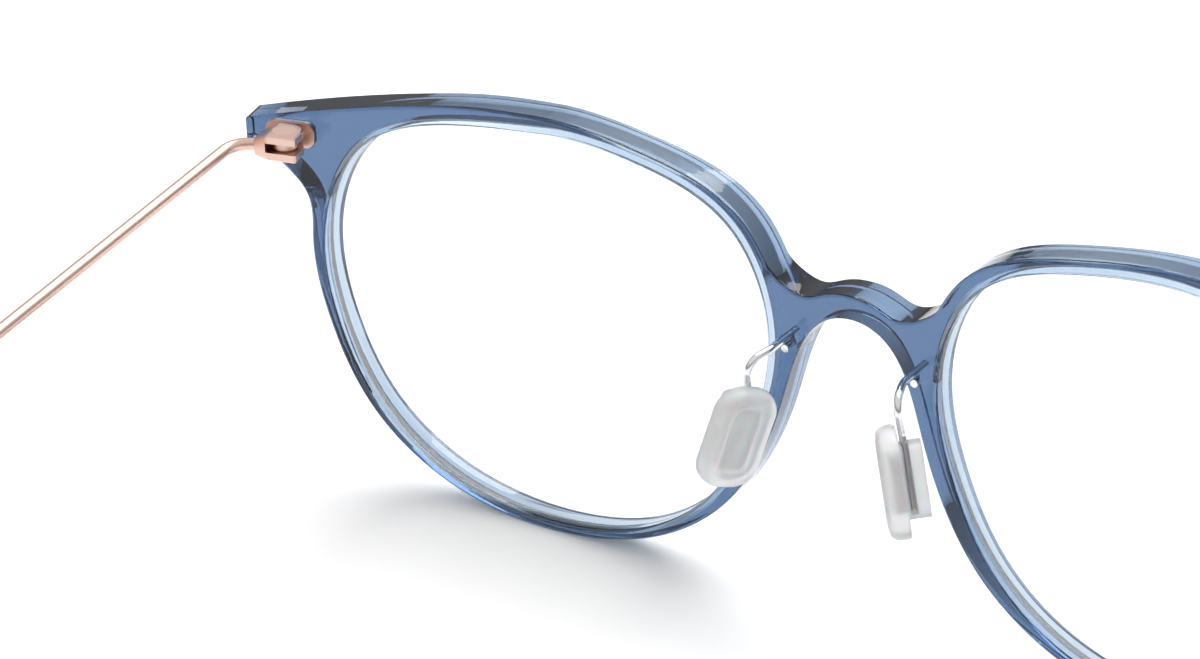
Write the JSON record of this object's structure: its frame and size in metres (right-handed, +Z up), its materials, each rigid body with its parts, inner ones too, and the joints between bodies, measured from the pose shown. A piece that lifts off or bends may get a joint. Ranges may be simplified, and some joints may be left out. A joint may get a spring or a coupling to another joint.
{
  "type": "eyeglasses",
  "caption": "Full-rim eyeglasses: a moulded front holding lenses in grooves, folding wire temples on pinned hinges with soft tips, and rocking nose pads on bent wire arms.",
  "frame": {"origin": "on the floor under the lower rims and temple tips, in the middle of the overall width and depth", "axes": "+X to the wearer's left, +Y from the front towards the temple tips, +Z up"},
  "size_m": [0.1356, 0.1422, 0.0454],
  "materials": {
    "frame_plastic": "polished transparent blue acetate",
    "lens_glass": "clear with an anti-reflection coating",
    "hinge_metal": "satin rose-coloured plated titanium",
    "bush_bronze": "plain machined bronze",
    "arm_wire": "polished bent wire",
    "tip_rubber": "matt translucent silicone sleeve",
    "clip_plastic": "clear moulded plastic",
    "pad_silicone": "frosted translucent silicone"
  },
  "bodies": {
    "front": {"front_frame": "frame_plastic", "lens_left": "lens_glass", "lens_right": "lens_glass", "hinge_plate_left": "hinge_metal", "hinge_plate_right": "hinge_metal", "hinge_bush_left": "bush_bronze", "hinge_bush_right": "bush_bronze", "pad_arm_left": "arm_wire", "pad_arm_right": "arm_wire"},
    "temple_left": {"temple_fork_left": "hinge_metal", "hinge_pin_left": "hinge_metal", "temple_wire_left": "hinge_metal", "temple_tip_left": "tip_rubber"},
    "temple_right": {"temple_fork_right": "hinge_metal", "hinge_pin_right": "hinge_metal", "temple_wire_right": "hinge_metal", "temple_tip_right": "tip_rubber"},
    "pad_left": {"pad_clip_left": "clip_plastic", "nose_pad_left": "pad_silicone"},
    "pad_right": {"pad_clip_right": "clip_plastic", "nose_pad_right": "pad_silicone"}
  },
  "joints": [
    {"name": "temple_fold_left", "type": "hinge", "parent": "front", "child": "temple_left", "pos_m": [0.06096, -0.06182, 0.03874], "axis": [0, 0, 1], "range_deg": [0, 90]},
    {"name": "temple_fold_right", "type": "hinge", "parent": "front", "child": "temple_right", "pos_m": [-0.06096, -0.06182, 0.03874], "axis": [0, 0, -1], "range_deg": [0, 86]},
    {"name": "pad_rock_left", "type": "hinge", "parent": "front", "child": "pad_left", "pos_m": [0.0094, -0.06162, 0.02105], "axis": [0.2609, 0.1509, -0.9535], "range_deg": [-8, 8]},
    {"name": "pad_rock_right", "type": "hinge", "parent": "front", "child": "pad_right", "pos_m": [-0.0094, -0.06162, 0.02105], "axis": [0.2609, -0.1509, 0.9535], "range_deg": [-8, 8]}
  ]
}
